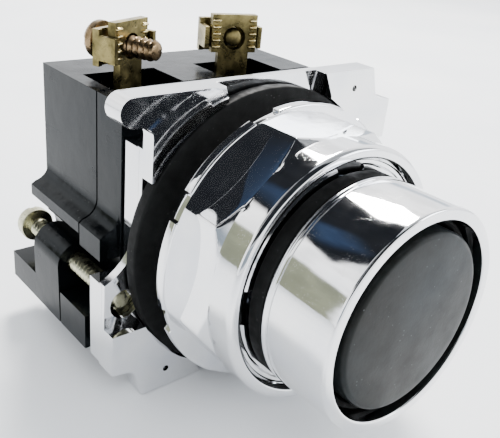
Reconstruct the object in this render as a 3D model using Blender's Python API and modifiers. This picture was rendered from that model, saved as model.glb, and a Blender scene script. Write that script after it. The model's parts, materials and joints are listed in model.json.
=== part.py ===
"""Industrial push button: a chrome operator for a 30.5 mm panel hole, with one contact block behind it.

Every shape is drawn in the operator's own frame, in millimetres: x to the right, y up, z forward
along the push axis, and z = 0 on the front face of the gasket, where the panel's rear face lies.
One empty, panel_plane, turns that frame so that the part stands with +Z up and faces -Y.
"""

import math

import bmesh
import bpy
from mathutils import Matrix, Vector

MM = 0.001
GAP = 0.3                       # clearance kept between pieces that touch
ROUND_STEPS = 48                # segments of the large turned pieces
SMALL_STEPS = 16                # segments of screws, discs and holes

# Operator body, a die casting that is the same turned half round about PLATE_CENTRE.
PLATE_CENTRE = (0.0, 0.5)
PLATE_TOP = 21.3
PLATE_BACK = -3.4
FLOOR_Z = -2.2
TRAY_BACK = -6.2
LUG_BACK = -5.8
TRAY_HALF_X = 18.1
TRAY_TOP = 14.1
PAD_INNER_R = 20.65
THREAD_R = 15.1
BUSHING_BORE_R = 12.9
BUSHING_FRONT = 14.3
SPANNER_SLOT_WIDTH = 4.5
SPANNER_SLOT_DEPTH = 3.0
PLATE_BORE_R = 11.0
BLOCK_SCREW_XY = (-20.2, -6.4)

# Rings on the operator.
GASKET_R = (15.4, 20.34)
GASKET_THICKNESS = 1.9
NUT_REAR = 3.7
NUT_BORE_R = THREAD_R + GAP
NUT_SIDES = 8
NUT_APOTHEM = 17.0
NUT_CORNER_R = 18.4
NUT_FIRST_CORNER = 106.5        # degrees from +x towards +y
NUT_FLANGE_R = 19.6
NUT_NOTCH_DEPTH = 0.5
GUARD_R = 14.3
GUARD_REAR = 17.0
GUARD_FRONT = 27.0
GUARD_BORE_R = 12.8
GUARD_NECK_R = (11.9, 12.6)

# Button, stem and their spring.
CAP_R = 11.4
CAP_CROWN = 27.2
CAP_UNDERSIDE = 24.8
CAP_SKIRT_END = 17.3
STEM_R = 4.0
STEM_END = -6.9
CLIP_Z = (-5.2, -4.7)
GUIDE_FRONT = -0.8

# Contact block.
BLOCK_HALF_X = 18.4
BLOCK_TOP = 18.4
BLOCK_BOTTOM = 2 * PLATE_CENTRE[1] - BLOCK_TOP
CAVITY_HALF_X = 15.5
CAVITY_TOP = 14.6
CAVITY_BOTTOM = 2 * PLATE_CENTRE[1] - CAVITY_TOP
COVER_FRONT = -6.5
COVER_WALL = 1.8
COVER_BACK = -12.5
HOUSING_FRONT = COVER_BACK - GAP
HOUSING_BACK = -27.9
HOUSING_INNER_BACK = -25.2
LUG_X = -23.2
LUG_BOTTOM = -15.3
BOSS_R = 3.1
BOSS_Z = (-22.3, -14.7)
REAR_FOOT_Z = (-30.3, -22.3)
COVER_FOOT_Z = (-14.4, -7.2)
POCKET_BACK = -20.3
BLOCK_SCREW_SEAT = -27.8
BLOCK_SCREW_R = 1.4
COVER_OPENING_R = 6.5

# Plunger and contacts.
PLUNGER_FRONT = -7.2
PLUNGER_HALF = 4.5
SHANK_HALF = 2.5
SHANK_END = -25.7
SHOULDER_Z = (-9.9, -8.6)
PLUNGER_BLOCK_BACK = -16.9
WINDOW_Z = (-15.8, -10.9)
BRIDGE_Z = (-15.5, -14.5)
TIP_X = 9.7
TIP_R = 1.9
FIXED_STRIP_Z = (-23.1, -21.9)
FIXED_TIP_Z = (-21.6, -20.7)

# Wire terminals: centre of the T-head seen from above (x, z) and its turn about the vertical.
TERMINALS = {
    "left": {"side": -1, "x": -10.8, "z": -18.0, "turn": 22.0, "tip": 4.8, "seat": -4.2, "saddle": (-2.3, 1.3)},
    "right": {"side": 1, "x": 7.2, "z": -18.2, "turn": -18.0, "tip": 0.4, "seat": -3.6, "saddle": (-3.2, 0.4)},
}
T_HEAD_Y = (20.3, 25.8)
T_HEAD_HALF = 3.5
NECK_HALF = 2.4
STRIP_HALF_THICKNESS = 0.6
TERMINAL_SCREW_Y = 22.4
TERMINAL_SCREW_R = 1.45
TERMINAL_HEAD_R = 2.6
SADDLE_HALF = 4.5
SADDLE_WALL = 0.7
SADDLE_Y = (20.0, 24.8)
SADDLE_ARM_Y = (20.8, 24.0)


# ------------------------------------------------------------------ scene and materials

def clear_scene():
    for old in list(bpy.data.objects):
        bpy.data.objects.remove(old, do_unlink=True)


def make_collection(name):
    collection = bpy.data.collections.new(name)
    bpy.context.scene.collection.children.link(collection)
    return collection


def make_material(name, colour, roughness, metallic):
    material = bpy.data.materials.new(name)
    material.use_nodes = True
    shader = material.node_tree.nodes["Principled BSDF"]
    shader.inputs["Base Color"].default_value = (*colour, 1.0)
    shader.inputs["Roughness"].default_value = roughness
    shader.inputs["Metallic"].default_value = metallic
    return material


# ------------------------------------------------------------------ shape helpers

def add_object(name, mesh):
    """Put a mesh drawn in the operator's frame under panel_plane, whose frame it shares."""
    obj = bpy.data.objects.new(name, mesh)
    parts.objects.link(obj)
    obj.parent = panel_plane
    return obj


def as_tool(obj):
    """Move an object to the cutters' collection."""
    parts.objects.unlink(obj)
    cutters.objects.link(obj)
    obj.hide_render = True
    obj.display_type = "WIRE"
    return obj


def boolean(target, tool, operation):
    modifier = target.modifiers.new(f"{operation.lower()} {tool.name}", "BOOLEAN")
    modifier.operation = operation
    modifier.solver = "EXACT"
    modifier.object = as_tool(tool)


def cut(target, *tools):
    for tool in tools:
        boolean(target, tool, "DIFFERENCE")


def join(target, *tools):
    for tool in tools:
        boolean(target, tool, "UNION")


def finish_part(obj, material):
    """Turn the object with its modifiers into one plain mesh, with smooth round faces."""
    bpy.context.view_layer.update()
    evaluated = obj.evaluated_get(bpy.context.evaluated_depsgraph_get())
    mesh = bpy.data.meshes.new_from_object(evaluated)
    mesh.name = obj.name
    obj.modifiers.clear()
    obj.data = mesh
    mesh.shade_smooth()
    mesh.set_sharp_from_angle(angle=math.radians(30.0))
    mesh.materials.clear()
    mesh.materials.append(material)
    return obj


def box(name, low, high):
    """A box between two corners."""
    low = Vector(low) * MM
    high = Vector(high) * MM
    bm = bmesh.new()
    bmesh.ops.create_cube(bm, size=1.0)
    size = high - low
    bmesh.ops.transform(bm, verts=bm.verts, matrix=Matrix.Diagonal((*size, 1.0)))
    bmesh.ops.translate(bm, verts=bm.verts, vec=(low + high) / 2)
    mesh = bpy.data.meshes.new(name)
    bm.to_mesh(mesh)
    bm.free()
    return add_object(name, mesh)


def turned(name, profile, steps=ROUND_STEPS, at=(0.0, 0.0)):
    """A turned shape from a profile of (radius, z) that runs down the outer side first.

    A profile whose ends lie on the axis is left open; any other one is closed into a ring.
    """
    mesh = bpy.data.meshes.new(name)
    points = [Vector((radius * MM, 0.0, z * MM)) for radius, z in profile]
    solid = profile[0][0] == 0.0 and profile[-1][0] == 0.0
    edges = [(i, i + 1) for i in range(len(points) - 1)]
    if not solid:
        edges.append((len(points) - 1, 0))
    mesh.from_pydata(points, edges, [])
    obj = add_object(name, mesh)
    obj.location = (at[0] * MM, at[1] * MM, 0.0)
    screw = obj.modifiers.new("turn", "SCREW")
    screw.steps = steps
    screw.render_steps = steps
    screw.use_merge_vertices = True
    screw.merge_threshold = 0.000001
    return obj


def disc(name, radius, z_range, at=(0.0, 0.0), steps=SMALL_STEPS):
    low, high = z_range
    return turned(name, [(0.0, high), (radius, high), (radius, low), (0.0, low)], steps, at)


def arc(centre, radius, start, end, steps):
    """Points on an arc, with its angles in degrees."""
    points = []
    for step in range(steps + 1):
        angle = math.radians(start + (end - start) * step / steps)
        points.append((centre[0] + radius * math.cos(angle), centre[1] + radius * math.sin(angle)))
    return points


def curve_to_mesh(obj):
    """A closed mesh in the place of a curve object."""
    bpy.context.view_layer.update()
    evaluated = obj.evaluated_get(bpy.context.evaluated_depsgraph_get())
    mesh = bpy.data.meshes.new_from_object(evaluated)
    mesh.transform(obj.matrix_world)
    bm = bmesh.new()
    bm.from_mesh(mesh)
    bmesh.ops.remove_doubles(bm, verts=bm.verts, dist=0.000001)
    bmesh.ops.recalc_face_normals(bm, faces=bm.faces)
    bm.to_mesh(mesh)
    bm.free()
    bpy.data.objects.remove(obj, do_unlink=True)
    return mesh


def prism(name, outline, z_range):
    """A flat outline in x and y, extruded between two heights."""
    curve = bpy.data.curves.new(name, "CURVE")
    curve.dimensions = "2D"
    curve.fill_mode = "BOTH"
    curve.extrude = (z_range[1] - z_range[0]) / 2 * MM
    spline = curve.splines.new("POLY")
    spline.points.add(len(outline) - 1)
    for point, (x, y) in zip(spline.points, outline):
        point.co = (x * MM, y * MM, 0.0, 1.0)
    spline.use_cyclic_u = True
    flat = bpy.data.objects.new(name, curve)
    flat.location.z = (z_range[0] + z_range[1]) / 2 * MM
    parts.objects.link(flat)
    return add_object(name, curve_to_mesh(flat))


def half_turn(point):
    """The same point after half a turn about the middle of the plate."""
    return (2 * PLATE_CENTRE[0] - point[0], 2 * PLATE_CENTRE[1] - point[1])


def both_sides(outline):
    return [outline, [half_turn(point) for point in outline]]


def coil(name, radius, wire, z_range, turns, points_per_turn=12):
    """A round-wire spring about the push axis."""
    curve = bpy.data.curves.new(name, "CURVE")
    curve.dimensions = "3D"
    curve.bevel_depth = wire / 2 * MM
    curve.bevel_resolution = 2
    curve.use_fill_caps = True
    count = round(turns * points_per_turn) + 1
    spline = curve.splines.new("POLY")
    spline.points.add(count - 1)
    low = z_range[0] + wire / 2
    high = z_range[1] - wire / 2
    for index, point in enumerate(spline.points):
        angle = 2 * math.pi * index / points_per_turn
        height = low + (high - low) * index / (count - 1)
        point.co = (radius * math.cos(angle) * MM, radius * math.sin(angle) * MM, height * MM, 1.0)
    wire_object = bpy.data.objects.new(name, curve)
    parts.objects.link(wire_object)
    return add_object(name, curve_to_mesh(wire_object))


# ------------------------------------------------------------------ operator body

def body_outline():
    """The plate seen from the front, anticlockwise: the left side, then the same turned half round."""
    left = arc((-20.65, PLATE_TOP - 1.78), 1.78, 90, 270, 10)
    left += arc((-19.65, 16.12), 1.6, 85, 0, 6)
    left += arc((-26.5, 4.7), 8.4, 0, -66, 8)
    left += [(-23.2, -15.3), (-20.6, -15.7), (-19.9, -16.2), (-18.6, 2 * PLATE_CENTRE[1] - PLATE_TOP)]
    return left + [half_turn(point) for point in left]


def pad_recesses():
    """What is milled away in front of the floor: the gasket's seat and the gaps between the pads."""
    tools = [disc("cut gasket seat", PAD_INNER_R, (FLOOR_Z, 2.0), steps=ROUND_STEPS)]
    top_gap = [(-8.45, PLATE_TOP + 1), (-7.4, 19.4), (-7.4, 15.0)]
    top_gap += [(10.6, 15.0), (10.6, 18.0), (8.5, PLATE_TOP + 1)]
    side_gap = [(-26.0, -9.4), (-15.0, -9.4), (-15.0, 10.6), (-26.0, 10.6)]
    for name, gap in (("top", top_gap), ("side", side_gap)):
        for number, outline in enumerate(both_sides(gap)):
            tools.append(prism(f"cut {name} gap {number}", outline, (FLOOR_Z, 1.0)))
    return tools


def ear_relief():
    """Below the ears only the thin front layer reaches out, so the wall behind steps back."""
    outline = [(-19.4, 14.2), (-15.0, 14.2), (-15.0, 17.6), (-19.4, 17.6)]
    return [
        prism(f"cut ear relief {number}", side, (PLATE_BACK - 1.0, FLOOR_Z))
        for number, side in enumerate(both_sides(outline))
    ]


def bushing():
    """The threaded bushing, with a spanner slot on each side of its front end."""
    ring = turned("bushing", [
        (THREAD_R - 0.5, BUSHING_FRONT), (THREAD_R, BUSHING_FRONT - 0.5), (THREAD_R, -2.9),
        (BUSHING_BORE_R, -2.9), (BUSHING_BORE_R, BUSHING_FRONT - 0.3), (BUSHING_BORE_R + 0.3, BUSHING_FRONT),
    ])
    half = SPANNER_SLOT_WIDTH / 2
    low = BUSHING_FRONT - SPANNER_SLOT_DEPTH
    high = BUSHING_FRONT + 1.0
    reach = THREAD_R + 2.0
    cut(
        ring,
        box("cut spanner slots across", (-reach, -half, low), (reach, half, high)),
        box("cut spanner slots upright", (-half, -reach, low), (half, reach, high)),
    )
    return ring


def operator_body(material):
    body = prism("operator_body", body_outline(), (PLATE_BACK, 0.0))
    cut(body, *pad_recesses())
    cut(body, *ear_relief())
    tray_bottom = 2 * PLATE_CENTRE[1] - TRAY_TOP
    low = (-TRAY_HALF_X, tray_bottom, TRAY_BACK)
    join(body, box("join tray", low, (TRAY_HALF_X, TRAY_TOP, PLATE_BACK + 0.4)))
    lug = [(-23.15, -15.1), (-17.0, -15.1), (-17.0, -3.1), (-23.15, -3.1)]
    for number, outline in enumerate(both_sides(lug)):
        join(body, prism(f"join lug {number}", outline, (LUG_BACK, PLATE_BACK + 0.5)))
    join(body, bushing())
    cut(body, disc("cut plate bore", PLATE_BORE_R, (TRAY_BACK - 1.0, 0.5), steps=ROUND_STEPS))
    for number, centre in enumerate((BLOCK_SCREW_XY, half_turn(BLOCK_SCREW_XY))):
        cut(body, disc(f"cut screw hole {number}", 2.1, (LUG_BACK - 1.0, 1.0), centre))
    for number, centre in enumerate(((15.07, 18.68), (-14.9, -17.4))):
        cut(body, disc(f"cut pin hole {number}", 0.45, (PLATE_BACK - 1.0, 1.0), centre, steps=12))
    finish_part(body, material)


# ------------------------------------------------------------------ rings on the operator

def panel_gasket(material):
    inner, outer = GASKET_R
    back = -GASKET_THICKNESS
    gasket = turned("panel_gasket", [
        (outer - 0.25, 0.0), (outer, -0.3), (outer, back + 0.3), (outer - 0.25, back),
        (inner, back), (inner, 0.0),
    ])
    finish_part(gasket, material)


def nut_flats():
    """Eight slabs that leave the octagon between the flange and the round collar in front."""
    tools = []
    for index in range(NUT_SIDES):
        slab = box("cut nut flat", (NUT_APOTHEM, -9.0, NUT_REAR + 1.5), (NUT_APOTHEM + 5.0, 9.0, 11.0))
        slab.rotation_euler.z = math.radians(NUT_FIRST_CORNER + (index + 0.5) * 360 / NUT_SIDES)
        tools.append(slab)
    return tools


def nut_notches():
    """A shallow notch in the flange behind each corner of the octagon."""
    tools = []
    for index in range(NUT_SIDES):
        low = (NUT_FLANGE_R - NUT_NOTCH_DEPTH, -1.8, NUT_REAR - 1.0)
        notch = box("cut nut notch", low, (NUT_FLANGE_R + 2.0, 1.8, NUT_REAR + 1.45))
        notch.rotation_euler.z = math.radians(NUT_FIRST_CORNER + index * 360 / NUT_SIDES)
        tools.append(notch)
    return tools


def mounting_nut(material):
    flange_front = NUT_REAR + 1.5
    nut = turned("mounting_nut", [
        (15.94, 15.2), (16.9, 15.2), (17.3, 14.8), (17.3, 11.0),
        (NUT_CORNER_R, 9.9), (NUT_CORNER_R, flange_front),
        (NUT_FLANGE_R - 0.3, flange_front), (NUT_FLANGE_R, flange_front - 0.3), (NUT_FLANGE_R, NUT_REAR + 0.3),
        (NUT_FLANGE_R - 0.3, NUT_REAR), (NUT_BORE_R + 0.4, NUT_REAR), (NUT_BORE_R, NUT_REAR + 0.4),
        (NUT_BORE_R, 14.4),
    ])
    cut(nut, *nut_flats())
    cut(nut, *nut_notches())
    finish_part(nut, material)


def guard_ring(material):
    neck_inner, neck_outer = GUARD_NECK_R
    guard = turned("guard_ring", [
        (GUARD_R - 0.37, GUARD_FRONT), (GUARD_R, GUARD_FRONT - 0.37), (GUARD_R, GUARD_REAR + 0.85),
        (GUARD_R - 0.2, GUARD_REAR + 0.75), (GUARD_R - 0.2, GUARD_REAR + 0.5), (GUARD_R, GUARD_REAR + 0.4),
        (GUARD_R, GUARD_REAR + 0.1), (GUARD_R - 0.1, GUARD_REAR), (neck_outer, GUARD_REAR),
        (neck_outer, 11.0), (neck_inner, 11.0),
        (neck_inner, GUARD_REAR - 0.4), (GUARD_BORE_R, GUARD_REAR + 0.6),
        (GUARD_BORE_R, GUARD_FRONT - 0.6), (GUARD_BORE_R + 0.2, GUARD_FRONT),
    ])
    finish_part(guard, material)


def guard_seal_ring(material):
    seal = turned("guard_seal_ring", [
        (14.1, 16.7), (14.2, 16.6), (14.2, 14.7), (14.1, 14.6), (12.95, 14.6), (12.95, 16.7),
    ])
    finish_part(seal, material)


def boot_seal(material):
    """A rubber sleeve in the guard's bore, rolled over at its front, that wipes the button's side."""
    inner = CAP_R + GAP
    outer = GUARD_BORE_R - GAP
    seal = turned("boot_seal", [
        ((inner + outer) / 2, 25.0), (outer - 0.1, 24.85), (outer, 24.5), (outer, 18.0),
        (inner, 18.0), (inner, 24.5), (inner + 0.1, 24.85),
    ])
    finish_part(seal, material)


# ------------------------------------------------------------------ button and stem

def button_cap(material):
    """The cap, with a shallow crown, a skirt, and a socket for the stem."""
    inner = CAP_R - 1.2
    crown = [(radius, CAP_CROWN - 0.25 * (radius / 10.7) ** 2) for radius in (0.0, 3.5, 7.0, 10.7)]
    cap = turned("button_cap", crown + [
        (11.15, 26.7), (CAP_R, 26.1), (CAP_R, CAP_SKIRT_END), (inner, CAP_SKIRT_END), (inner, CAP_UNDERSIDE),
        (STEM_R + 1.6, CAP_UNDERSIDE), (STEM_R + 1.6, 20.0), (STEM_R + GAP, 20.0),
        (STEM_R + GAP, CAP_UNDERSIDE), (0.0, CAP_UNDERSIDE),
    ])
    finish_part(cap, material)


def stem(material):
    groove_low, groove_high = CLIP_Z[0] - 0.2, CLIP_Z[1] + 0.2
    rod = turned("stem", [
        (0.0, CAP_UNDERSIDE - GAP), (STEM_R, CAP_UNDERSIDE - GAP), (STEM_R, groove_high), (3.2, groove_high),
        (3.2, groove_low), (STEM_R, groove_low),
        (STEM_R, STEM_END + 0.4), (STEM_R - 0.4, STEM_END), (0.0, STEM_END),
    ], steps=24)
    finish_part(rod, material)


def stem_guide(material):
    """A bush that sits on the shoulder at the foot of the bushing and guides the stem."""
    guide = turned("stem_guide", [
        (BUSHING_BORE_R - GAP, GUIDE_FRONT), (BUSHING_BORE_R - GAP, -1.9), (PLATE_BORE_R - GAP, -1.9),
        (PLATE_BORE_R - GAP, -4.2), (STEM_R + GAP, -4.2), (STEM_R + GAP, 3.0), (STEM_R + 1.5, 3.0),
        (STEM_R + 1.5, GUIDE_FRONT),
    ], steps=32)
    finish_part(guide, material)


def retaining_clip(material):
    low, high = CLIP_Z
    clip = turned("retaining_clip", [(6.0, high), (6.0, low), (3.5, low), (3.5, high)], steps=32)
    cut(clip, box("cut clip mouth", (-2.0, -8.0, low - 1.0), (2.0, -2.0, high + 1.0)))
    finish_part(clip, material)


def return_spring(material):
    spring = coil("return_spring", 7.0, 0.9, (GUIDE_FRONT + GAP, CAP_UNDERSIDE - GAP), 8, 10)
    finish_part(spring, material)


# ------------------------------------------------------------------ contact block

def side_rail(z_range, bottom, number):
    """The rail along each side of the block, with a hollow round into the wall above it."""
    rail = arc((-20.9, 3.7), 2.5, 0, -80, 7) + [(-21.1, 0.8), (-21.1, bottom), (-17.5, bottom), (-17.5, 3.7)]
    return prism(f"join rail {number}", both_sides(rail)[number], z_range)


def block_foot(name, number, top, z_range, inner_x=-17.5):
    foot = [(LUG_X, LUG_BOTTOM), (inner_x, LUG_BOTTOM), (inner_x, top), (LUG_X, top)]
    return prism(f"join {name} {number}", both_sides(foot)[number], z_range)


def screw_boss(number):
    """The D-shaped boss that the block screw passes through."""
    x, y = BLOCK_SCREW_XY
    outline = arc((x, y), BOSS_R, 180, 60, 8)
    outline += [(-17.5, y + BOSS_R - 0.4), (-17.5, LUG_BOTTOM), (LUG_X, LUG_BOTTOM)]
    return prism(f"join boss {number}", both_sides(outline)[number], BOSS_Z)


def terminal_box(name, terminal, low, high):
    """A box in a terminal's own frame: u across, y up and w forward, turned about the vertical."""
    obj = box(name, (low[0], low[1], low[2]), (high[0], high[1], high[2]))
    turn = Matrix.Rotation(math.radians(terminal["turn"]), 4, "Y")
    place = Matrix.Translation(Vector((terminal["x"], 0.0, terminal["z"])) * MM)
    obj.data.transform(place @ turn)
    return obj


def terminal_pocket(name, terminal):
    x = terminal["x"]
    low = (x - 5.5, BLOCK_TOP - 2.5, POCKET_BACK)
    return box(f"cut {name} pocket", low, (x + 5.5, BLOCK_TOP + 1.0, HOUSING_FRONT + 1.0))


def block_housing(material):
    low = (-BLOCK_HALF_X, BLOCK_BOTTOM, HOUSING_BACK)
    housing = box("block_housing", low, (BLOCK_HALF_X, BLOCK_TOP, HOUSING_FRONT))
    for number in range(2):
        join(housing, side_rail((HOUSING_BACK + 0.5, HOUSING_FRONT), -0.8, number))
        join(housing, block_foot("rear foot", number, -11.1, REAR_FOOT_Z))
        join(housing, screw_boss(number))
    low = (-CAVITY_HALF_X, CAVITY_BOTTOM, HOUSING_INNER_BACK)
    cut(housing, box("cut cavity", low, (CAVITY_HALF_X, CAVITY_TOP, HOUSING_FRONT + 1.0)))
    for name, terminal in TERMINALS.items():
        cut(housing, terminal_pocket(f"{name} housing", terminal))
        half_width = NECK_HALF + GAP
        half_depth = STRIP_HALF_THICKNESS + GAP
        low = (-half_width, CAVITY_TOP - 1.6, -half_depth)
        slot = terminal_box(f"cut {name} slot", terminal, low, (half_width, BLOCK_TOP - 1.4, half_depth))
        cut(housing, slot)
        x = terminal["side"] * TIP_X
        low = (x - 2.2, -2.3, HOUSING_INNER_BACK - 0.3)
        join(housing, box(f"join {name} anvil", low, (x + 2.2, 2.3, FIXED_STRIP_Z[0] - GAP)))
    hole = SHANK_HALF + GAP
    low = (-hole, -hole, HOUSING_BACK - 1.0)
    cut(housing, box("cut shank hole", low, (hole, hole, HOUSING_INNER_BACK + 1.0)))
    for number, (x, y) in enumerate((BLOCK_SCREW_XY, half_turn(BLOCK_SCREW_XY))):
        cut(housing, disc(f"cut boss hole {number}", 1.8, (BOSS_Z[0] - 1.0, BOSS_Z[1] + 1.0), (x, y)))
        cut(housing, disc(f"cut head relief {number}", 3.0, (HOUSING_BACK - 3.0, BOSS_Z[0]), (x, y)))
    finish_part(housing, material)


def block_cover(material):
    low = (-BLOCK_HALF_X, BLOCK_BOTTOM, COVER_BACK)
    cover = box("block_cover", low, (BLOCK_HALF_X, BLOCK_TOP, COVER_FRONT))
    heel_z = (COVER_FOOT_Z[0], COVER_BACK + 0.5)
    for number in range(2):
        join(cover, side_rail((COVER_BACK, COVER_FRONT - 0.5), -2.4, number))
        join(cover, block_foot("cover foot", number, -10.2, (COVER_BACK, COVER_FOOT_Z[1])))
        join(cover, block_foot("cover heel", number, -10.2, heel_z, -BLOCK_HALF_X - GAP))
    wall_back = COVER_FRONT - COVER_WALL
    low = (-CAVITY_HALF_X, CAVITY_BOTTOM, COVER_BACK - 1.0)
    cut(cover, box("cut cover cavity", low, (CAVITY_HALF_X, CAVITY_TOP, wall_back)))
    cut(cover, disc("cut cover opening", COVER_OPENING_R, (wall_back - 1.0, COVER_FRONT + 1.0), steps=32))
    finish_part(cover, material)


def block_plunger(material):
    plunger = disc("block_plunger", 3.8, (SHOULDER_Z[1] - 0.5, PLUNGER_FRONT), steps=SMALL_STEPS)
    join(plunger, disc("join shoulder", 7.5, SHOULDER_Z, steps=32))
    half = PLUNGER_HALF
    low = (-half, -half, PLUNGER_BLOCK_BACK)
    join(plunger, box("join plunger block", low, (half, half, SHOULDER_Z[0] + 0.4)))
    half = SHANK_HALF
    join(plunger, box("join shank", (-half, -half, SHANK_END), (half, half, PLUNGER_BLOCK_BACK + 0.4)))
    cut(plunger, box("cut window", (-6.0, -2.7, WINDOW_Z[0]), (6.0, 2.7, WINDOW_Z[1])))
    finish_part(plunger, material)


def plunger_spring(material):
    spring = coil("plunger_spring", 4.3, 0.6, (HOUSING_INNER_BACK + GAP, PLUNGER_BLOCK_BACK - GAP), 3.5)
    finish_part(spring, material)


def contact_spring(material):
    finish_part(coil("contact_spring", 2.1, 0.5, (BRIDGE_Z[1] + GAP, WINDOW_Z[1] - GAP), 3), material)


def moving_bridge(material):
    low, high = BRIDGE_Z
    bridge = box("moving_bridge", (-TIP_X - 2.5, -2.3, low), (TIP_X + 2.5, 2.3, high))
    finish_part(bridge, material)


def contact_tips(material):
    for side, sign in (("left", -1), ("right", 1)):
        at = (sign * TIP_X, 0.0)
        front = BRIDGE_Z[0] - GAP
        finish_part(disc(f"moving_tip_{side}", TIP_R, (front - 0.8, front), at), material)
        finish_part(disc(f"fixed_tip_{side}", TIP_R, FIXED_TIP_Z, at), material)


# ------------------------------------------------------------------ wire terminals

def along_terminal(obj, terminal):
    """Lay a piece turned about z along a terminal's screw axis."""
    turn = Matrix.Rotation(math.radians(terminal["turn"]), 4, "Y")
    place = Matrix.Translation(Vector((terminal["x"], TERMINAL_SCREW_Y, terminal["z"])) * MM)
    obj.matrix_local = place @ turn
    return obj


def fixed_contact(name, terminal, material):
    """One brass strip: the T-head outside, the neck through the housing, and the leg to the tip."""
    t = STRIP_HALF_THICKNESS
    low = (-T_HEAD_HALF, T_HEAD_Y[0], -t)
    strip = terminal_box(f"fixed_contact_{name}", terminal, low, (T_HEAD_HALF, T_HEAD_Y[1], t))
    neck_t = t - 0.05
    low = (-NECK_HALF, 13.4, -neck_t)
    join(strip, terminal_box(f"join {name} neck", terminal, low, (NECK_HALF, T_HEAD_Y[0] + 0.2, neck_t)))
    tip_x = terminal["side"] * TIP_X
    low_x = min(terminal["x"] - 2.7, tip_x - NECK_HALF)
    high_x = max(terminal["x"] + 2.7, tip_x + NECK_HALF)
    join(strip, box(f"join {name} bend", (low_x, 13.0, FIXED_STRIP_Z[0]), (high_x, 14.2, -16.7)))
    low = (tip_x - NECK_HALF, -2.5, FIXED_STRIP_Z[0])
    join(strip, box(f"join {name} leg", low, (tip_x + NECK_HALF, 13.6, FIXED_STRIP_Z[1])))
    cut(strip, along_terminal(disc(f"cut {name} thread", TERMINAL_SCREW_R + GAP, (-2.0, 2.0)), terminal))
    finish_part(strip, material)


def clamp_saddle(name, terminal, material):
    """The U-shaped wire clamp behind the T-head, which the terminal screw draws forward."""
    outer, inner = SADDLE_HALF, SADDLE_HALF - SADDLE_WALL
    low_y, high_y = SADDLE_Y
    back, front = terminal["saddle"]
    wall_front = back + SADDLE_WALL
    ahead = front + 1
    arm_back = wall_front + 0.3
    saddle = terminal_box(f"clamp_saddle_{name}", terminal, (-outer, low_y, back), (outer, high_y, front))
    hole = disc(f"cut {name} saddle hole", TERMINAL_SCREW_R + GAP, (back - 1.0, back + 2.0))
    cut(
        saddle,
        terminal_box("cut saddle", terminal, (-inner, low_y - 1, wall_front), (inner, high_y + 1, ahead)),
        terminal_box("cut arm tops", terminal, (-9, SADDLE_ARM_Y[1], arm_back), (9, high_y + 1, ahead)),
        terminal_box("cut arm feet", terminal, (-9, low_y - 1, arm_back), (9, SADDLE_ARM_Y[0], ahead)),
        along_terminal(hole, terminal),
    )
    finish_part(saddle, material)


def terminal_screw(name, terminal, material):
    """A terminal screw with a domed, slotted head behind the saddle."""
    seat = terminal["seat"]
    tip = terminal["tip"]
    radius = TERMINAL_SCREW_R
    screw = turned(f"terminal_screw_{name}", [
        (0.0, tip), (radius - 0.4, tip), (radius, tip - 0.5), (radius, seat),
        (TERMINAL_HEAD_R, seat), (TERMINAL_HEAD_R, seat - 0.9), (TERMINAL_HEAD_R - 0.6, seat - 1.6),
        (TERMINAL_HEAD_R - 1.4, seat - 2.0), (0.0, seat - 2.1),
    ], steps=SMALL_STEPS)
    along_terminal(screw, terminal)
    slot = box(f"cut {name} screw slot", (-4.0, -0.4, seat - 3.0), (4.0, 0.4, seat - 1.2))
    cut(screw, along_terminal(slot, terminal))
    finish_part(screw, material)


# ------------------------------------------------------------------ block screws

def block_screw(name, centre, material):
    """A long screw from behind the block into the body's lug, with a slotted head."""
    seat = BLOCK_SCREW_SEAT
    radius = BLOCK_SCREW_R
    screw = turned(f"block_screw_{name}", [
        (0.0, -3.0), (radius - 0.4, -3.0), (radius, -3.5), (radius, seat),
        (2.5, seat), (2.5, seat - 1.6), (2.0, seat - 2.2), (0.0, seat - 2.5),
    ], steps=SMALL_STEPS, at=centre)
    x, y = centre
    low = (x - 0.45, y - 4.0, seat - 4.0)
    cut(screw, box("cut block screw slot", low, (x + 0.45, y + 4.0, seat - 1.3)))
    finish_part(screw, material)


# ------------------------------------------------------------------ assembly

clear_scene()
parts = make_collection("industrial_push_button")
cutters = make_collection("cutters")
panel_plane = bpy.data.objects.new("panel_plane", None)
parts.objects.link(panel_plane)
panel_plane.rotation_euler.x = math.radians(90.0)

chrome = make_material("chrome", (0.80, 0.80, 0.80), 0.12, 1.0)
rubber = make_material("black_rubber", (0.03, 0.03, 0.03), 0.75, 0.0)
cap_plastic = make_material("slate_plastic", (0.09, 0.10, 0.11), 0.35, 0.0)
moulding = make_material("black_moulding", (0.02, 0.02, 0.022), 0.22, 0.0)
brass = make_material("brass", (0.48, 0.38, 0.20), 0.35, 1.0)
zinc = make_material("yellow_zinc", (0.62, 0.58, 0.42), 0.35, 1.0)
spring_steel = make_material("spring_steel", (0.45, 0.46, 0.48), 0.35, 1.0)
silver = make_material("silver_contact", (0.85, 0.84, 0.80), 0.30, 1.0)

operator_body(chrome)
panel_gasket(rubber)
mounting_nut(chrome)
guard_ring(chrome)
guard_seal_ring(rubber)
boot_seal(rubber)
button_cap(cap_plastic)
stem(spring_steel)
stem_guide(moulding)
retaining_clip(spring_steel)
return_spring(spring_steel)
block_housing(moulding)
block_cover(moulding)
block_plunger(cap_plastic)
plunger_spring(spring_steel)
contact_spring(spring_steel)
moving_bridge(brass)
contact_tips(silver)
for terminal_name, terminal_place in TERMINALS.items():
    fixed_contact(terminal_name, terminal_place, brass)
    clamp_saddle(terminal_name, terminal_place, brass)
    terminal_screw(terminal_name, terminal_place, brass)
block_screw("lower", BLOCK_SCREW_XY, zinc)
block_screw("upper", half_turn(BLOCK_SCREW_XY), zinc)
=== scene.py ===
"""Looks of the industrial push button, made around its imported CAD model.

Shapes are drawn in the operator's own frame, in millimetres: x right, y up, z forward along the
push axis, with z = 0 on the front face of the gasket. The matrix TO_WORLD turns them into the frame.
"""

import json
import math

import bmesh
import bpy
from mathutils import Matrix, Vector


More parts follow.
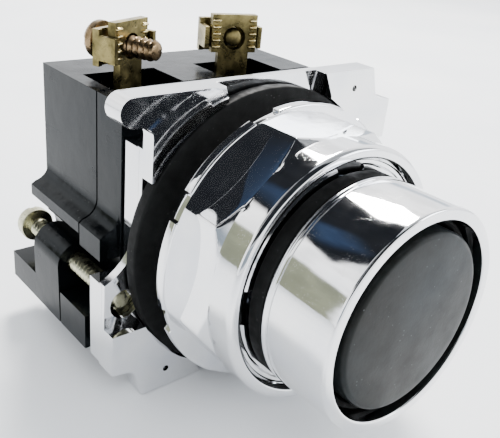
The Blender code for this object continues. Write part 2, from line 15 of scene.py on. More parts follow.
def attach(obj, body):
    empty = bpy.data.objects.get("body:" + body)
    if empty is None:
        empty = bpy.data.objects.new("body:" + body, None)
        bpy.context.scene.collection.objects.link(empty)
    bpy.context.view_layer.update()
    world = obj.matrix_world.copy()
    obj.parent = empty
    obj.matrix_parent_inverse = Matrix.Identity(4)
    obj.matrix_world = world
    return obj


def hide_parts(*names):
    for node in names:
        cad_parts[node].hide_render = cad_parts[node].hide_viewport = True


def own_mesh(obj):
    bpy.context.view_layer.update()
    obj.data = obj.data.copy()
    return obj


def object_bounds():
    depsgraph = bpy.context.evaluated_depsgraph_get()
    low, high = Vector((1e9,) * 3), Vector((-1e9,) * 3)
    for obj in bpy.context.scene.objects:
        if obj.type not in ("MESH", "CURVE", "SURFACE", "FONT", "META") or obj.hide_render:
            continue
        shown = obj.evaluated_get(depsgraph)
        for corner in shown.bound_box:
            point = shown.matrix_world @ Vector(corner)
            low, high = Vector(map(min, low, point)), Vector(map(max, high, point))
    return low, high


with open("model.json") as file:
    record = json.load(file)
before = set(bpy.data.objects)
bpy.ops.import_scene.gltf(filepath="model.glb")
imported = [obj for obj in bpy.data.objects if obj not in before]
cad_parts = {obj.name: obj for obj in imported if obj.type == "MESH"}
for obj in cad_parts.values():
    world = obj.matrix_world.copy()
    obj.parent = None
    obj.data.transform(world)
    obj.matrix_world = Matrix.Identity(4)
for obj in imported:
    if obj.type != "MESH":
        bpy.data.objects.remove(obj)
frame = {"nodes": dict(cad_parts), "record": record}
cad_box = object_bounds()

TO_WORLD = Matrix(((0.001, 0, 0, 0), (0, 0, -0.001, 0), (0, 0.001, 0, 0), (0, 0, 0, 1)))
FLOOR_HEIGHT = cad_box[0][2] - 0.0001
scene = bpy.context.scene
nodes_by_name = frame["nodes"]


# ------------------------------------------------------------------ camera and light

def add_camera():
    """The camera stands in front, to the left and above, and looks down at the button."""
    right = (0.767337, -0.634852, 0.090312)
    down = (-0.212683, -0.384835, -0.898147)
    forward = (0.604946, 0.669974, -0.430321)
    data = bpy.data.cameras.new("camera")
    data.lens = 50.7
    data.sensor_width = 36.0
    data.clip_start = 0.001
    camera = bpy.data.objects.new("camera", data)
    scene.collection.objects.link(camera)
    columns = [Vector(right), -Vector(down), -Vector(forward)]
    turn = Matrix(columns).transposed().to_4x4()
    camera.matrix_world = Matrix.Translation((-0.06002, -0.06407, 0.04346)) @ turn
    scene.camera = camera


def add_area(name, place, target, size, energy, colour=(1.0, 1.0, 1.0)):
    data = bpy.data.lights.new(name, "AREA")
    data.shape = "RECTANGLE"
    data.size, data.size_y = size
    data.energy = energy
    data.color = colour
    lamp = bpy.data.objects.new(name, data)
    scene.collection.objects.link(lamp)
    lamp.location = place
    lamp.rotation_euler = (Vector(target) - Vector(place)).to_track_quat("-Z", "Y").to_euler()


def node(tree, kind, inputs=None, **settings):
    """Add a shader node, set its properties, and fill its sockets with values or links."""
    made = tree.nodes.new(kind)
    for key, value in settings.items():
        setattr(made, key, value)
    for key, value in (inputs or {}).items():
        if isinstance(value, bpy.types.NodeSocket):
            tree.links.new(value, made.inputs[key])
        else:
            made.inputs[key].default_value = value
    return made


def ramp(tree, factor, stops):
    """A linear colour ramp; each stop is a place and a grey value or a colour."""
    made = node(tree, "ShaderNodeValToRGB", {0: factor})
    elements = made.color_ramp.elements
    while len(elements) < len(stops):
        elements.new(0.5)
    for element, (place, colour) in zip(elements, stops):
        element.position = place
        grey = isinstance(colour, (int, float))
        element.color = (colour, colour, colour, 1.0) if grey else (*colour, 1.0)
    return made.outputs[0]


def mix(tree, factor, first, second, mode="MIX"):
    made = node(tree, "ShaderNodeMix", data_type="RGBA", blend_type=mode)
    for index, value in ((0, factor), (6, first), (7, second)):
        if isinstance(value, bpy.types.NodeSocket):
            tree.links.new(value, made.inputs[index])
        elif index:
            made.inputs[index].default_value = (*value, 1.0)
        else:
            made.inputs[index].default_value = value
    return made.outputs[2]


def maths(tree, operation, first, second=0.0, third=0.0):
    made = node(tree, "ShaderNodeMath", {0: first, 1: second, 2: third}, operation=operation)
    return made.outputs[0]


def smooth_range(tree, value, low, high):
    """0 below low, 1 above high, and a smooth step between."""
    made = node(tree, "ShaderNodeMapRange", {
        "Value": value, "From Min": low, "From Max": high,
    }, interpolation_type="SMOOTHSTEP")
    return made.outputs[0]


def window(tree, azimuth, height, sides, heights, soft):
    """1 inside a patch of the room given by its azimuths and heights in degrees."""
    left = smooth_range(tree, azimuth, sides[0] - soft, sides[0] + soft)
    right = smooth_range(tree, azimuth, sides[1] + soft, sides[1] - soft)
    bottom = smooth_range(tree, height, heights[0] - soft, heights[0] + soft)
    top = smooth_range(tree, height, heights[1] + soft, heights[1] - soft)
    across = maths(tree, "MULTIPLY", left, right)
    upright = maths(tree, "MULTIPLY", bottom, top)
    return maths(tree, "MULTIPLY", across, upright)


ROOM_PATCHES = (
    # azimuths, heights, softness, colour: what the chrome sees around the pale table
    ((57, 137), (36, 95), 1.5, (0.007, 0.008, 0.010)),
    ((108, 126), (42, 54), 5.0, (0.018, 0.030, 0.058)),
    ((150, 270), (34, 95), 4.0, (0.010, 0.011, 0.013)),
    ((126, 153), (-9, 23), 1.5, (0.16, 0.17, 0.12)),
    ((-175, -50), (20, 95), 4.0, (0.008, 0.009, 0.011)),
    ((-175, -130), (2, 20), 3.0, (0.16, 0.19, 0.22)),
    ((-50, -10), (24, 70), 5.0, (0.20, 0.21, 0.22)),
    ((26, 52), (3, 12), 2.5, (0.42, 0.47, 0.53)),
)


def add_world():
    """A soft white room; what the chrome reflects also has a dark ceiling and coloured patches."""
    world = bpy.data.worlds.new("studio")
    scene.world = world
    world.use_nodes = True
    tree = world.node_tree
    tree.nodes.clear()
    direction = node(tree, "ShaderNodeTexCoord").outputs["Generated"]
    parts = node(tree, "ShaderNodeSeparateXYZ", {0: direction})
    wobble = noise(tree, direction, 5.0, 4.0)
    shift = maths(tree, "MULTIPLY_ADD", wobble, 6.0, -3.0)
    degrees = 180 / math.pi
    around = maths(tree, "ARCTAN2", parts.outputs["Y"], parts.outputs["X"])
    azimuth = maths(tree, "ADD", maths(tree, "MULTIPLY", around, degrees), shift)
    height = maths(tree, "MULTIPLY", maths(tree, "ARCSINE", parts.outputs["Z"]), degrees)
    height = maths(tree, "ADD", height, shift)
    room = ramp(tree, maths(tree, "MULTIPLY_ADD", parts.outputs["Z"], 0.5, 0.5), [
        (0.0, (0.80, 0.81, 0.83)), (0.60, (0.92, 0.94, 0.97)),
        (0.80, 1.0), (1.0, (0.35, 0.37, 0.40)),
    ])
    for sides, heights, soft, colour in ROOM_PATCHES:
        inside = window(tree, azimuth, height, sides, heights, soft)
        room = mix(tree, inside, room, colour)
    shades = [(0.0, 0.72), (0.42, 0.85), (0.58, 1.0), (1.0, 1.2)]
    clutter = ramp(tree, noise(tree, direction, 9.0, 4.0), shades)
    room = mix(tree, 1.0, room, clutter, "MULTIPLY")
    reflected = node(tree, "ShaderNodeBackground", {"Color": room, "Strength": 3.0})
    plain = node(tree, "ShaderNodeBackground", {"Color": (0.94, 0.97, 1.0, 1.0), "Strength": 2.0})
    path = node(tree, "ShaderNodeLightPath")
    choice = node(tree, "ShaderNodeMixShader", {
        0: path.outputs["Is Glossy Ray"], 1: plain.outputs[0], 2: reflected.outputs[0],
    })
    node(tree, "ShaderNodeOutputWorld", {0: choice.outputs[0]})


# ------------------------------------------------------------------ materials

def new_material(name, colour, metallic, roughness):
    """A material with its node tree, its shader and the coordinates of the object it is on."""
    material = bpy.data.materials.new(name)
    material.use_nodes = True
    tree = material.node_tree
    shader = tree.nodes["Principled BSDF"]
    shader.inputs["Base Color"].default_value = (*colour, 1.0)
    shader.inputs["Metallic"].default_value = metallic
    shader.inputs["Roughness"].default_value = roughness
    place = node(tree, "ShaderNodeTexCoord").outputs["Object"]
    return material, tree, shader, place


def noise(tree, place, scale, detail=3.0, roughness=0.5):
    return node(tree, "ShaderNodeTexNoise", {
        "Vector": place, "Scale": scale, "Detail": detail, "Roughness": roughness,
    }).outputs["Fac"]


def stretched(tree, place, scale, turn=(0.0, 0.0, 0.0)):
    return node(tree, "ShaderNodeMapping", {"Vector": place, "Scale": scale, "Rotation": turn}).outputs[0]


def specks(tree, place, scale, size):
    """White dots of about the given share of a cell, with uneven outlines."""
    sway = 0.12 / scale
    uneven = node(tree, "ShaderNodeTexNoise", {"Vector": place, "Scale": scale * 1.7}).outputs["Color"]
    moved = node(tree, "ShaderNodeVectorMath", {
        0: uneven, 1: (sway, sway, sway), 2: place,
    }, operation="MULTIPLY_ADD")
    cells = node(tree, "ShaderNodeTexVoronoi", {"Vector": moved.outputs[0], "Scale": scale})
    return ramp(tree, cells.outputs["Distance"], [(0.0, 1.0), (size * 0.6, 1.0), (size, 0.0), (1.0, 0.0)])


def patchy_specks(tree, place, scale, size, patch_scale, stops):
    """Specks that show only where a coarser noise, read through the stops, lets them."""
    dots = specks(tree, place, scale, size)
    where = ramp(tree, noise(tree, place, patch_scale), stops)
    return maths(tree, "MULTIPLY", dots, where)


def mottled(tree, place, scale, detail, roughness, stops):
    """A noise read through the stops of a ramp, as a colour or a value."""
    return ramp(tree, noise(tree, place, scale, detail, roughness), stops)


def bump(tree, shader, height, strength, distance):
    made = node(tree, "ShaderNodeBump", {"Height": height, "Strength": strength, "Distance": distance})
    tree.links.new(made.outputs[0], shader.inputs["Normal"])


def chrome(name, tone=0.86, pits=1.0, brushed=0.0):
    """Bright chrome plate over a die casting: faint ripples, fine pits, and hazy wiped patches."""
    material, tree, shader, place = new_material(name, (tone, tone, tone), 1.0, 0.06)
    cloud = noise(tree, place, 150.0, 4.0)
    tint = ramp(tree, cloud, [(0.3, (tone - 0.10, tone - 0.09, tone - 0.06)), (0.62, (tone, tone, tone))])
    dots = specks(tree, place, 4200.0, 0.16)
    where = ramp(tree, noise(tree, place, 300.0, 4.0), [(0.46, 0.0), (0.66, 0.7 * pits)])
    pitted = maths(tree, "MULTIPLY", dots, where)
    colour = mix(tree, pitted, tint, (0.16, 0.15, 0.14))
    tree.links.new(colour, shader.inputs["Base Color"])
    haze = ramp(tree, noise(tree, place, 420.0, 5.0, 0.6), [(0.35, 0.03), (0.75, 0.10 + 0.06 * brushed)])
    rough = maths(tree, "MULTIPLY_ADD", pitted, 0.3, haze)
    tree.links.new(rough, shader.inputs["Roughness"])
    ripple = noise(tree, place, 260.0, 2.0)
    grain = noise(tree, stretched(tree, place, (1.0, 0.25, 1.0), (0.6, 0.4, 0.0)), 2600.0, 3.0)
    level = maths(tree, "MULTIPLY_ADD", grain, 0.10 + 0.5 * brushed, ripple)
    bump(tree, shader, maths(tree, "SUBTRACT", level, pitted), 0.16, 0.00005)
    return material


def black_rubber():
    """Matt charcoal rubber with a fine grain, a few scuffs and pale dust."""
    material, tree, shader, place = new_material("black_rubber_look", (0.004, 0.004, 0.004), 0.0, 0.6)
    shader.inputs["Specular IOR Level"].default_value = 0.12
    shades = [(0.35, (0.0025, 0.0027, 0.0026)), (0.7, (0.006, 0.0065, 0.0065))]
    cloud = mottled(tree, place, 300.0, 5.0, 0.5, shades)
    dust = patchy_specks(tree, place, 1500.0, 0.16, 180.0, [(0.5, 0.0), (0.62, 0.8)])
    tree.links.new(mix(tree, dust, cloud, (0.05, 0.05, 0.05)), shader.inputs["Base Color"])
    rough = mottled(tree, place, 700.0, 4.0, 0.5, [(0.3, 0.48), (0.7, 0.78)])
    tree.links.new(rough, shader.inputs["Roughness"])
    bump(tree, shader, noise(tree, place, 3500.0, 4.0, 0.6), 0.45, 0.00006)
    return material


def black_moulding():
    """Glossy black phenolic moulding: soft waves in the gloss, fine dust and light scratches."""
    material, tree, shader, place = new_material("black_moulding_look", (0.002, 0.002, 0.002), 0.0, 0.16)
    shader.inputs["Specular IOR Level"].default_value = 0.10
    shader.inputs["Specular Tint"].default_value = (0.80, 0.93, 1.0, 1.0)
    shades = [(0.35, (0.0008, 0.0011, 0.0013)), (0.7, (0.0018, 0.0024, 0.0030))]
    cloud = mottled(tree, place, 200.0, 4.0, 0.5, shades)
    dust = patchy_specks(tree, place, 1300.0, 0.13, 120.0, [(0.48, 0.0), (0.62, 0.7)])
    tree.links.new(mix(tree, dust, cloud, (0.06, 0.06, 0.058)), shader.inputs["Base Color"])
    scratch_place = stretched(tree, place, (1.0, 0.05, 1.0), (0.3, 0.2, 0.9))
    scratch = ramp(tree, noise(tree, scratch_place, 2400.0, 2.0), [(0.64, 0.0), (0.70, 1.0)])
    haze = ramp(tree, noise(tree, place, 260.0, 5.0), [(0.35, 0.10), (0.72, 0.30)])
    tree.links.new(maths(tree, "MULTIPLY_ADD", scratch, 0.04, haze), shader.inputs["Roughness"])
    bump(tree, shader, noise(tree, place, 420.0, 2.0), 0.25, 0.00012)
    return material


def slate_plastic():
    """Satin slate-grey plastic with a mottled, finger-worn face and fine dust."""
    material, tree, shader, place = new_material("slate_plastic_look", (0.014, 0.016, 0.016), 0.0, 0.34)
    shader.inputs["Specular IOR Level"].default_value = 0.12
    wide = noise(tree, place, 60.0, 2.0)
    fine = noise(tree, place, 900.0, 5.0, 0.65)
    blend = maths(tree, "MULTIPLY_ADD", fine, 0.3, maths(tree, "MULTIPLY", wide, 0.85))
    cloud = ramp(tree, blend, [
        (0.40, (0.0055, 0.0056, 0.0045)), (0.55, (0.0095, 0.0115, 0.0115)), (0.70, (0.014, 0.018, 0.020)),
    ])
    dust = patchy_specks(tree, place, 1100.0, 0.12, 220.0, [(0.46, 0.0), (0.60, 0.75)])
    tree.links.new(mix(tree, dust, cloud, (0.07, 0.075, 0.08)), shader.inputs["Base Color"])
    rough = mottled(tree, place, 340.0, 4.0, 0.5, [(0.3, 0.28), (0.7, 0.44)])
    tree.links.new(rough, shader.inputs["Roughness"])
    bump(tree, shader, noise(tree, place, 2600.0, 3.0), 0.3, 0.00003)
    return material


def tarnished(name, bright, dull, dark, roughness):
    """Worn plated metal: bright where rubbed, dull in patches, dark in pits, with fine drawing lines."""
    material, tree, shader, place = new_material(name, bright, 1.0, roughness)
    cloud = mottled(tree, place, 380.0, 5.0, 0.6, [(0.36, dull), (0.62, bright)])
    pits = patchy_specks(tree, place, 2100.0, 0.26, 500.0, [(0.45, 0.0), (0.6, 0.85)])
    tree.links.new(mix(tree, pits, cloud, dark), shader.inputs["Base Color"])
    rough = mottled(tree, place, 800.0, 4.0, 0.5, [(0.3, roughness - 0.1), (0.7, roughness + 0.16)])
    tree.links.new(rough, shader.inputs["Roughness"])
    lines = noise(tree, stretched(tree, place, (1.0, 1.0, 0.12)), 3400.0, 3.0)
    bump(tree, shader, maths(tree, "SUBTRACT", lines, pits), 0.4, 0.00005)
    return material


def floor_look():
    """A pale matt table top with a very faint mottling."""
    material, tree, shader, place = new_material("pale_floor_look", (0.9, 0.9, 0.9), 0.0, 0.55)
    cloud = ramp(tree, noise(tree, place, 14.0, 4.0), [(0.35, (0.80, 0.82, 0.85)), (0.7, (0.88, 0.89, 0.90))])
    tree.links.new(cloud, shader.inputs["Base Color"])
    bump(tree, shader, noise(tree, place, 900.0, 3.0), 0.15, 0.0001)
    return material


# name: bright, dull and dark colour, roughness
WORN_METALS_AND_PAINTED_GLINT = {
    "brass": ((0.25, 0.205, 0.085), (0.075, 0.062, 0.024), (0.02, 0.015, 0.008), 0.30),
    # brightened brass for the terminal ridges: a painted glint, not rubbed metal
    "brass_painted_glint": ((0.80, 0.68, 0.36), (0.50, 0.40, 0.18), (0.10, 0.08, 0.04), 0.20),
    "copper_plate": ((0.34, 0.235, 0.13), (0.13, 0.09, 0.045), (0.03, 0.02, 0.012), 0.28),
    "yellow_zinc": ((0.55, 0.54, 0.38), (0.30, 0.29, 0.19), (0.08, 0.07, 0.04), 0.26),
    "spring_steel": ((0.55, 0.55, 0.56), (0.34, 0.34, 0.35), (0.08, 0.08, 0.08), 0.32),
    "silver_contact": ((0.80, 0.79, 0.76), (0.60, 0.58, 0.54), (0.18, 0.17, 0.15), 0.28),
}

looks = {
    "chrome": chrome("chrome_look"),
    "body_chrome": chrome("body_chrome_look", tone=0.82, pits=0.8, brushed=0.3),
    "black_rubber": black_rubber(),
    "slate_plastic": slate_plastic(),
    "black_moulding": black_moulding(),
}
for metal, metal_facts in WORN_METALS_AND_PAINTED_GLINT.items():
    looks[metal] = tarnished(f"{metal}_look", *metal_facts)


# ------------------------------------------------------------------ shapes

def place_piece(name, mesh, look, body, replaced=(), smooth_angle=35.0):
    """Link a piece, give it its look, tie it to its CAD body, and hide the CAD nodes it replaces."""
    piece = bpy.data.objects.new(name, mesh)
    scene.collection.objects.link(piece)
    mesh.materials.clear()
    mesh.materials.append(looks[look])
    if smooth_angle:
        mesh.polygons.foreach_set("use_smooth", [True] * len(mesh.polygons))
        mesh.set_sharp_from_angle(angle=math.radians(smooth_angle))
    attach(piece, body)
    if replaced:
        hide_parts(*replaced)
    return piece


def mesh_from(name, points, faces, matrix=TO_WORLD):
    mesh = bpy.data.meshes.new(name)
    mesh.from_pydata(points, [], faces)
    mesh.transform(matrix)
    work = bmesh.new()
    work.from_mesh(mesh)
    bmesh.ops.remove_doubles(work, verts=work.verts, dist=2e-6)
    bmesh.ops.recalc_face_normals(work, faces=work.faces)
    work.to_mesh(mesh)
    work.free()
    return mesh


def rounded(profile, steps=4):
    """Round the corners of a closed profile; a point may give its own radius as a third number."""
    made = []
    count = len(profile)
    for index, point in enumerate(profile):
        radius = point[2] if len(point) > 2 else 0.0
        corner = Vector(point[:2])
        if radius <= 0.0:
            made.append(tuple(corner))
            continue
        before = Vector(profile[index - 1][:2]) - corner
        after = Vector(profile[(index + 1) % count][:2]) - corner
        reach = min(radius, 0.45 * before.length, 0.45 * after.length)
        start = corner + before.normalized() * reach
        end = corner + after.normalized() * reach
        for step in range(steps + 1):
            t = step / steps
            made.append(tuple(start * (1 - t) ** 2 + corner * 2 * t * (1 - t) + end * t * t))
    return made


def filled(profile, spacing):
    """The same closed profile with long sides split into short ones."""
    made = []
    for index, point in enumerate(profile):
        following = profile[(index + 1) % len(profile)]
        start, end = Vector(point), Vector(following)
        parts = max(1, int(round((end - start).length / spacing)))
        made += [tuple(start.lerp(end, part / parts)) for part in range(parts)]
    return made


def lathe(name, profile, steps=160, shape=None, matrix=TO_WORLD):
    """Turn a closed profile of (radius, z) points about z; shape may change a point's radius."""
    points = []
    for step in range(steps):
        angle = 2 * math.pi * step / steps
        for radius, z in profile:
            if shape:
                radius = shape(radius, z, angle)
            points.append((radius * math.cos(angle), radius * math.sin(angle), z))
    count = len(profile)
    faces = []
    for step in range(steps):
        a, b = step * count, (step + 1) % steps * count
        for index in range(count):
            other = (index + 1) % count
            if profile[index][0] < 1e-6 and profile[other][0] < 1e-6:
                continue
            faces.append((a + index, b + index, b + other, a + other))
    return mesh_from(name, points, faces, matrix)


def boxed(name, low, high, matrix=TO_WORLD):
    points = [(x, y, z) for x in (low[0], high[0]) for y in (low[1], high[1]) for z in (low[2], high[2])]
    faces = [(0, 1, 3, 2), (4, 6, 7, 5), (0, 4, 5, 1), (2, 3, 7, 6), (0, 2, 6, 4), (1, 5, 7, 3)]
    return mesh_from(name, points, faces, matrix)


def apply_modifiers(mesh, settings, tools=()):
    """Apply cuts and then modifiers to a mesh and give back the finished mesh."""
    holder = bpy.data.objects.new("work", mesh)
    scene.collection.objects.link(holder)
    helpers = []
    for operation, tool_mesh in tools:
        tool = bpy.data.objects.new("tool", tool_mesh)
        scene.collection.objects.link(tool)
        helpers.append(tool)
        modifier = holder.modifiers.new("boolean", "BOOLEAN")
        modifier.operation = operation
        modifier.solver = "EXACT"
        modifier.object = tool
    for kind, values in settings:
        modifier = holder.modifiers.new(kind.lower(), kind)
        for key, value in values.items():
            setattr(modifier, key, value)
    bpy.context.view_layer.update()
    depsgraph = bpy.context.evaluated_depsgraph_get()
    made = bpy.data.meshes.new_from_object(holder.evaluated_get(depsgraph))
    for helper in helpers:
        bpy.data.objects.remove(helper)
    bpy.data.objects.remove(holder)
    return made


def bevel(width, segments=2, angle=32.0):
    return ("BEVEL", {
        "width": width * 0.001, "segments": segments, "limit_method": "ANGLE",
        "angle_limit": math.radians(angle), "use_clamp_overlap": True, "harden_normals": False,
        "miter_outer": "MITER_ARC",
    })


def clean_copy(node_name):
    """A copy of a CAD node's mesh, with its flat faces made whole again."""
    mesh = nodes_by_name[node_name].data.copy()
    work = bmesh.new()
    work.from_mesh(mesh)
    bmesh.ops.remove_doubles(work, verts=work.verts, dist=1e-6)
    bmesh.ops.dissolve_limit(work, angle_limit=math.radians(0.6), verts=work.verts, edges=work.edges)
    bmesh.ops.recalc_face_normals(work, faces=work.faces)
    work.to_mesh(mesh)
    work.free()
    return mesh


def bevelled_copy(node_name, look, body, width):
    """A CAD node's own shape with its edges rounded as the real piece's are."""
    flat_sides = ("WEIGHTED_NORMAL", {"mode": "FACE_AREA", "weight": 80, "keep_sharp": False})
    source = clean_copy(node_name)
    source.polygons.foreach_set("use_smooth", [True] * len(source.polygons))
    mesh = apply_modifiers(source, [bevel(width), flat_sides])
    return place_piece(f"{node_name}_visual", mesh, look, body, (node_name,), 0)


def thread(low, high, pitch, depth):
    """A lathe shape that cuts a right-handed helical groove between two heights."""
    def shape(radius, z, angle):
        if z < low or z > high:
            return radius
        fade = min(1.0, (z - low) / (0.4 * pitch), (high - z) / (0.4 * pitch))
        turn = z / pitch - angle / (2 * math.pi)
        wave = abs(2 * (turn - math.floor(turn)) - 1)
        groove = max(0.0, min(1.0, 1.25 * wave - 0.12))
        return radius - depth * groove * max(0.0, fade)
    return shape


# ------------------------------------------------------------------ turned chrome parts

GUARD_R = 14.3
BORE_R = 12.8


def make_guard():
    profile = rounded([
        (GUARD_R, 27.0, 0.42), (GUARD_R, 18.0, 0.12), (14.08, 17.85, 0.08), (14.08, 17.45, 0.08),
        (GUARD_R, 17.3, 0.12), (GUARD_R, 17.0, 0.15), (12.6, 17.0), (12.6, 11.0), (11.9, 11.0), (11.9, 16.6),
        (BORE_R, 17.6), (BORE_R, 27.0, 0.30),
    ], 5)
    mesh = lathe("guard", profile, 192)
    place_piece("guard_ring_visual", mesh, "chrome", "operator", ("guard_ring",), 40)


def make_seals():
    ring = rounded([
        (14.2, 16.7, 0.25), (14.2, 14.6, 0.25), (12.95, 14.6, 0.2), (12.95, 16.7, 0.2),
    ])
    mesh = lathe("seal", ring, 160)
    look = slot = "black_rubber"
    place_piece("guard_seal_ring_visual", mesh, look, "operator", ("guard_seal_ring",))
    sleeve = [(11.75, 18.0), (11.7, 24.2), (11.78, 24.75), (12.1, 25.0), (12.42, 24.75), (12.5, 24.3)]
    for z in (23.4, 22.2, 21.0):
        sleeve += [(12.5, z + 0.3), (12.34, z), (12.5, z - 0.3)]
    mesh = lathe("sleeve", sleeve + [(12.5, 18.0)], 160)
    place_piece("boot_seal_visual", mesh, look, "operator", ("boot_seal",))
    gasket = rounded([(20.34, 0.0, 0.35), (20.34, -1.9, 0.35), (15.4, -1.9, 0.2), (15.4, 0.0, 0.2)], 5)
    mesh = lathe("gasket", filled(gasket, 0.5), 192, lambda r, z, a: r + 0.03 * math.sin(7 * a) * (r > 20))
    place_piece("panel_gasket_visual", mesh, look, "operator", ("panel_gasket",))


def make_cap():
    inner = 10.2
    crown = [(10.7 * step / 12, 27.2 - 0.25 * (step / 12) ** 2.2) for step in range(13)]
    edge = [(10.95, 26.92), (11.12, 26.83), (11.26, 26.68), (11.35, 26.48), (11.4, 26.2)]
    rest = [
        (11.4, 17.3), (inner, 17.3), (inner, 24.8), (5.6, 24.8),
        (5.6, 20.0), (4.3, 20.0), (4.3, 24.8), (0.0, 24.8),
    ]
    mesh = lathe("cap", crown + edge + rest, 192)
    place_piece("button_cap_visual", mesh, "slate_plastic", "button", ("button_cap",), 30)


NUT_APOTHEM = 17.0
NUT_FIRST_CORNER = math.radians(106.5)
EIGHTH = math.pi / 4


def nut_shape(radius, z, angle):
    """The octagon between the flange and the collar, and the notches in the flange."""
    turned = (angle - NUT_FIRST_CORNER) % EIGHTH
    from_flat = turned - EIGHTH / 2
    from_corner = min(turned, EIGHTH - turned)
    if 5.2 < z < 11.05 and radius > 16.5:
        flat = NUT_APOTHEM / math.cos(from_flat)
        gap = radius - flat
        soft = 0.10
        radius = 0.5 * (radius + flat - math.sqrt(gap * gap + soft * soft))
    if z < 5.15 and radius > 19.0:
        reach = 1.8 / 19.6
        depth = 0.5 * max(0.0, min(1.0, (reach - from_corner) / 0.012 + 0.5))
        radius -= depth
    return radius


def nut_angles():
    """Angles around the nut, closer together at each corner of the octagon."""
    made = []
    for corner in range(8):
        start = NUT_FIRST_CORNER + corner * EIGHTH
        near = [0.0, 0.004, 0.009, 0.016, 0.028, 0.05, 0.07, 0.083, 0.089, 0.095, 0.101, 0.12]
        middle = [0.12 + (EIGHTH - 0.24) * step / 16 for step in range(1, 16)]
        far = [EIGHTH - value for value in reversed(near[1:])]
        made += [start + value for value in near + middle + far]
    return made


def make_nut():
    profile = rounded([
        (15.94, 15.2, 0.2), (16.9, 15.2, 0.25), (17.3, 14.7, 0.25), (17.3, 11.0),
        (18.4, 9.9, 0.15), (18.4, 5.2, 0.05), (19.6, 5.2, 0.35), (19.6, 3.7, 0.35),
        (15.8, 3.7), (15.4, 4.1), (15.4, 14.4),
    ], 5)
    profile = filled(profile, 0.28)
    points, faces = [], []
    angles = nut_angles()
    for angle in angles:
        for radius, z in profile:
            radius = nut_shape(radius, z, angle)
            points.append((radius * math.cos(angle), radius * math.sin(angle), z))
    count = len(profile)
    for step in range(len(angles)):
        a, b = step * count, (step + 1) % len(angles) * count
        for index in range(count):
            other = (index + 1) % count
            faces.append((a + index, b + index, b + other, a + other))
    mesh = mesh_from("nut", points, faces)
    place_piece("mounting_nut_visual", mesh, "chrome", "nut", ("mounting_nut",), 24)


# ------------------------------------------------------------------ operator body and block

def make_body():
    bevelled_copy("operator_body", "body_chrome", "operator", 0.22)
    rows = [(15.28, -0.2 + 0.2 * step) for step in range(72)]
    profile = rows + [(14.0, 14.0), (14.0, -0.2)]
    mesh = lathe("thread", profile, 120, thread(0.0, 13.9, 1.6, 0.55))
    place_piece("bushing_thread", mesh, "chrome", "operator")


def make_block():
    bevelled_copy("block_housing", "black_moulding", "operator", 0.3)
    bevelled_copy("block_cover", "black_moulding", "operator", 0.3)


# ------------------------------------------------------------------ terminals and screws

TERMINALS = {
    "left": {"x": -10.8, "z": -18.0, "turn": 22.0, "tip": 4.8, "seat": -4.2, "look": "copper_plate"},
    "right": {"x": 7.2, "z": -18.2, "turn": -18.0, "tip": 0.4, "seat": -3.6, "look": "brass"},
}
SCREW_Y = 22.4


def terminal_matrix(terminal, height=0.0):
    turn = Matrix.Rotation(math.radians(terminal["turn"]), 4, "Y")
    return TO_WORLD @ Matrix.Translation((terminal["x"], height, terminal["z"])) @ turn


def make_terminal(side, terminal):
    body = f"clamp_{side}"
    matrix = terminal_matrix(terminal, SCREW_Y)
    seat = terminal["seat"]
    tip = terminal["tip"]
    rows = [(1.45, tip - 0.5 - 0.1 * step) for step in range(int((tip - 0.5 - seat) / 0.1))]
    profile = [(0.0, tip), (0.9, tip), (1.2, tip - 0.15)] + rows + [
        (1.45, seat), (2.5, seat), (2.6, seat - 0.1), (2.6, seat - 0.8), (2.45, seat - 1.2),
        (2.05, seat - 1.65), (1.4, seat - 1.95), (0.6, seat - 2.08), (0.0, seat - 2.1),
    ]
    mesh = lathe("screw", profile, 48, thread(seat + 0.4, tip - 0.2, 0.9, 0.36), matrix)
    slot = boxed("slot", (-4.0, -0.4, seat - 3.0), (4.0, 0.4, seat - 1.2), matrix)
    mesh = apply_modifiers(mesh, [], [("DIFFERENCE", slot)])
    screw = f"terminal_screw_{side}"
    place_piece(f"{screw}_visual", mesh, terminal["look"], body, (screw,), 30)
    bevelled_copy(f"clamp_saddle_{side}", "brass", body, 0.16)
    bevelled_copy(f"fixed_contact_{side}", "brass", "operator", 0.14)
    flat = terminal_matrix(terminal)
    for ridge in range(5):
        y = 21.15 + 0.95 * ridge
        for number, sign in enumerate((-1, 1)):
            points = rounded([(0.0, -0.36), (0.5, -0.14, 0.12), (0.5, 0.14, 0.12), (0.0, 0.36)])
            mesh = ridge_mesh(points, sign * 2.15, sign * 3.45, y, flat)
            # the ridges get the brightened brass, which paints their glints into the colour
            place_piece(f"terminal_ridge_{side}_{ridge}_{number}", mesh, "brass_painted_glint", "operator")


def ridge_mesh(section, start, end, y, matrix):
    """A small rib with tapered ends, across the front of the terminal plate."""
    points, faces = [], []
    stations = ((0.0, 0.35), (0.12, 0.85), (0.3, 1.0), (0.7, 1.0), (0.88, 0.85), (1.0, 0.35))
    for along, size in stations:
        for depth, height in section:
            points.append((start + (end - start) * along, y + height * size, 0.5 + depth * size))
    count = len(section)
    for station in range(len(stations) - 1):
        for index in range(count):
            other = (index + 1) % count
            a, b = station * count, (station + 1) * count
            faces.append((a + index, a + other, b + other, b + index))
    faces.append(tuple(range(count)))
    last = (len(stations) - 1) * count
    faces.append(tuple(last + index for index in reversed(range(count))))
    return mesh_from("ridge", points, faces, matrix)


BLOCK_SCREWS = {"lower": (-20.2, -6.4), "upper": (20.2, 7.4)}


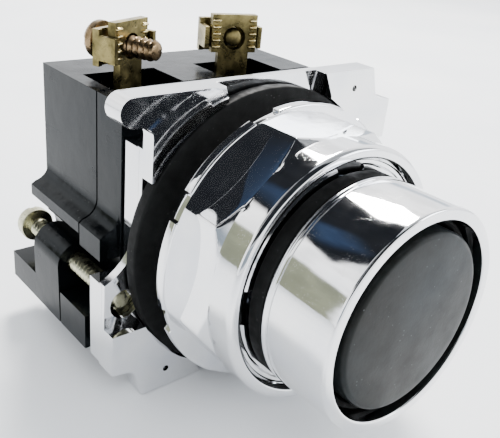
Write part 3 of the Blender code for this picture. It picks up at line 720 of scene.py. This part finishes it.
def make_block_screws():
    seat = -27.8
    for name, (x, y) in BLOCK_SCREWS.items():
        matrix = TO_WORLD @ Matrix.Translation((x, y, 0.0))
        rows = [(1.4, -3.5 - 0.1 * step) for step in range(243)]
        profile = [(0.0, -3.0), (0.95, -3.0), (1.2, -3.2)] + rows + [
            (1.4, seat), (2.4, seat), (2.5, seat - 0.1), (2.5, seat - 1.4), (2.35, seat - 1.9),
            (1.9, seat - 2.25), (1.0, seat - 2.45), (0.0, seat - 2.5),
        ]
        mesh = lathe("screw", profile, 48, thread(-27.0, -3.2, 0.8, 0.3), matrix)
        slot = boxed("slot", (-0.45, -4.0, seat - 4.0), (0.45, 4.0, seat - 1.3), matrix)
        mesh = apply_modifiers(mesh, [], [("DIFFERENCE", slot)])
        screw = f"block_screw_{name}"
        place_piece(f"{screw}_visual", mesh, "yellow_zinc", "operator", (screw,), 30)


def coil_mesh(name, radius, wire, low, high, turns):
    """A round-wire coil between two heights, wound closer at its ends."""
    around, per_turn = 10, 40
    stations = int(turns * per_turn)
    points, faces = [], []
    for station in range(stations + 1):
        share = station / stations
        angle = 2 * math.pi * turns * share
        eased = 0.8 * share + 0.2 * (0.5 - 0.5 * math.cos(math.pi * share))
        height = low + wire / 2 + (high - low - wire) * eased
        taper = 0.5 * wire * min(1.0, 0.45 + 0.2 * min(station, stations - station))
        for step in range(around):
            turn = 2 * math.pi * step / around
            reach = radius + taper * math.cos(turn)
            points.append((reach * math.cos(angle), reach * math.sin(angle), height + taper * math.sin(turn)))
    for station in range(stations):
        a, b = station * around, (station + 1) * around
        for step in range(around):
            other = (step + 1) % around
            faces.append((a + step, a + other, b + other, b + step))
    faces.append(tuple(range(around)))
    faces.append(tuple(stations * around + step for step in reversed(range(around))))
    return mesh_from(name, points, faces)


# name: wire-centre radius, wire, low z, high z, turns, body, joint, anchor z, length kept at the limit
SPRINGS = {
    "return_spring": (7.0, 0.9, -0.5, 24.5, 8, "button", "button_press", 24.5, 0.78),
    "plunger_spring": (4.3, 0.6, -24.9, -17.2, 3.5, "plunger", "plunger_slide", -17.2, 0.286),
    "contact_spring": (2.1, 0.5, -14.2, -11.2, 3, "plunger", "plunger_slide", -11.2, 0.533),
}


def make_springs():
    """Each spring is a coil that goes with the body of its front end."""
    for name, facts in SPRINGS.items():
        radius, wire, low, high, turns, body, joint, anchor, keep = facts
        mesh = coil_mesh(name, radius, wire, low, high, turns)
        piece = place_piece(f"{name}_visual", mesh, "spring_steel", body, (name,), 60)
        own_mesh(piece)


def carry_over():
    """CAD nodes that keep their shape get their detailed material."""
    slots = {part["node"]: part["material_slot"] for part in frame["record"]["subparts"]}
    for name, obj in nodes_by_name.items():
        obj.data.materials.clear()
        obj.data.materials.append(looks[slots[name]])


def make_floor():
    half = 3.0
    corners = [(-half, -half, 0), (half, -half, 0), (half, half, 0), (-half, half, 0)]
    mesh = bpy.data.meshes.new("floor")
    mesh.from_pydata(corners, [], [(0, 1, 2, 3)])
    mesh.materials.append(floor_look())
    floor = bpy.data.objects.new("floor", mesh)
    scene.collection.objects.link(floor)
    floor.location.z = FLOOR_HEIGHT


add_camera()
add_world()
add_area("key", (0.22, 0.26, 0.42), (0, 0, 0), (0.16, 0.16), 7.5, (1.0, 0.98, 0.95))
add_area("side", (0.45, -0.40, 0.25), (0, 0, 0), (0.20, 0.30), 1.2, (0.9, 0.95, 1.0))
carry_over()
make_guard()
make_seals()
make_cap()
make_nut()
make_body()
make_block()
for terminal_side, terminal_facts in TERMINALS.items():
    make_terminal(terminal_side, terminal_facts)
make_block_screws()
make_springs()
make_floor()
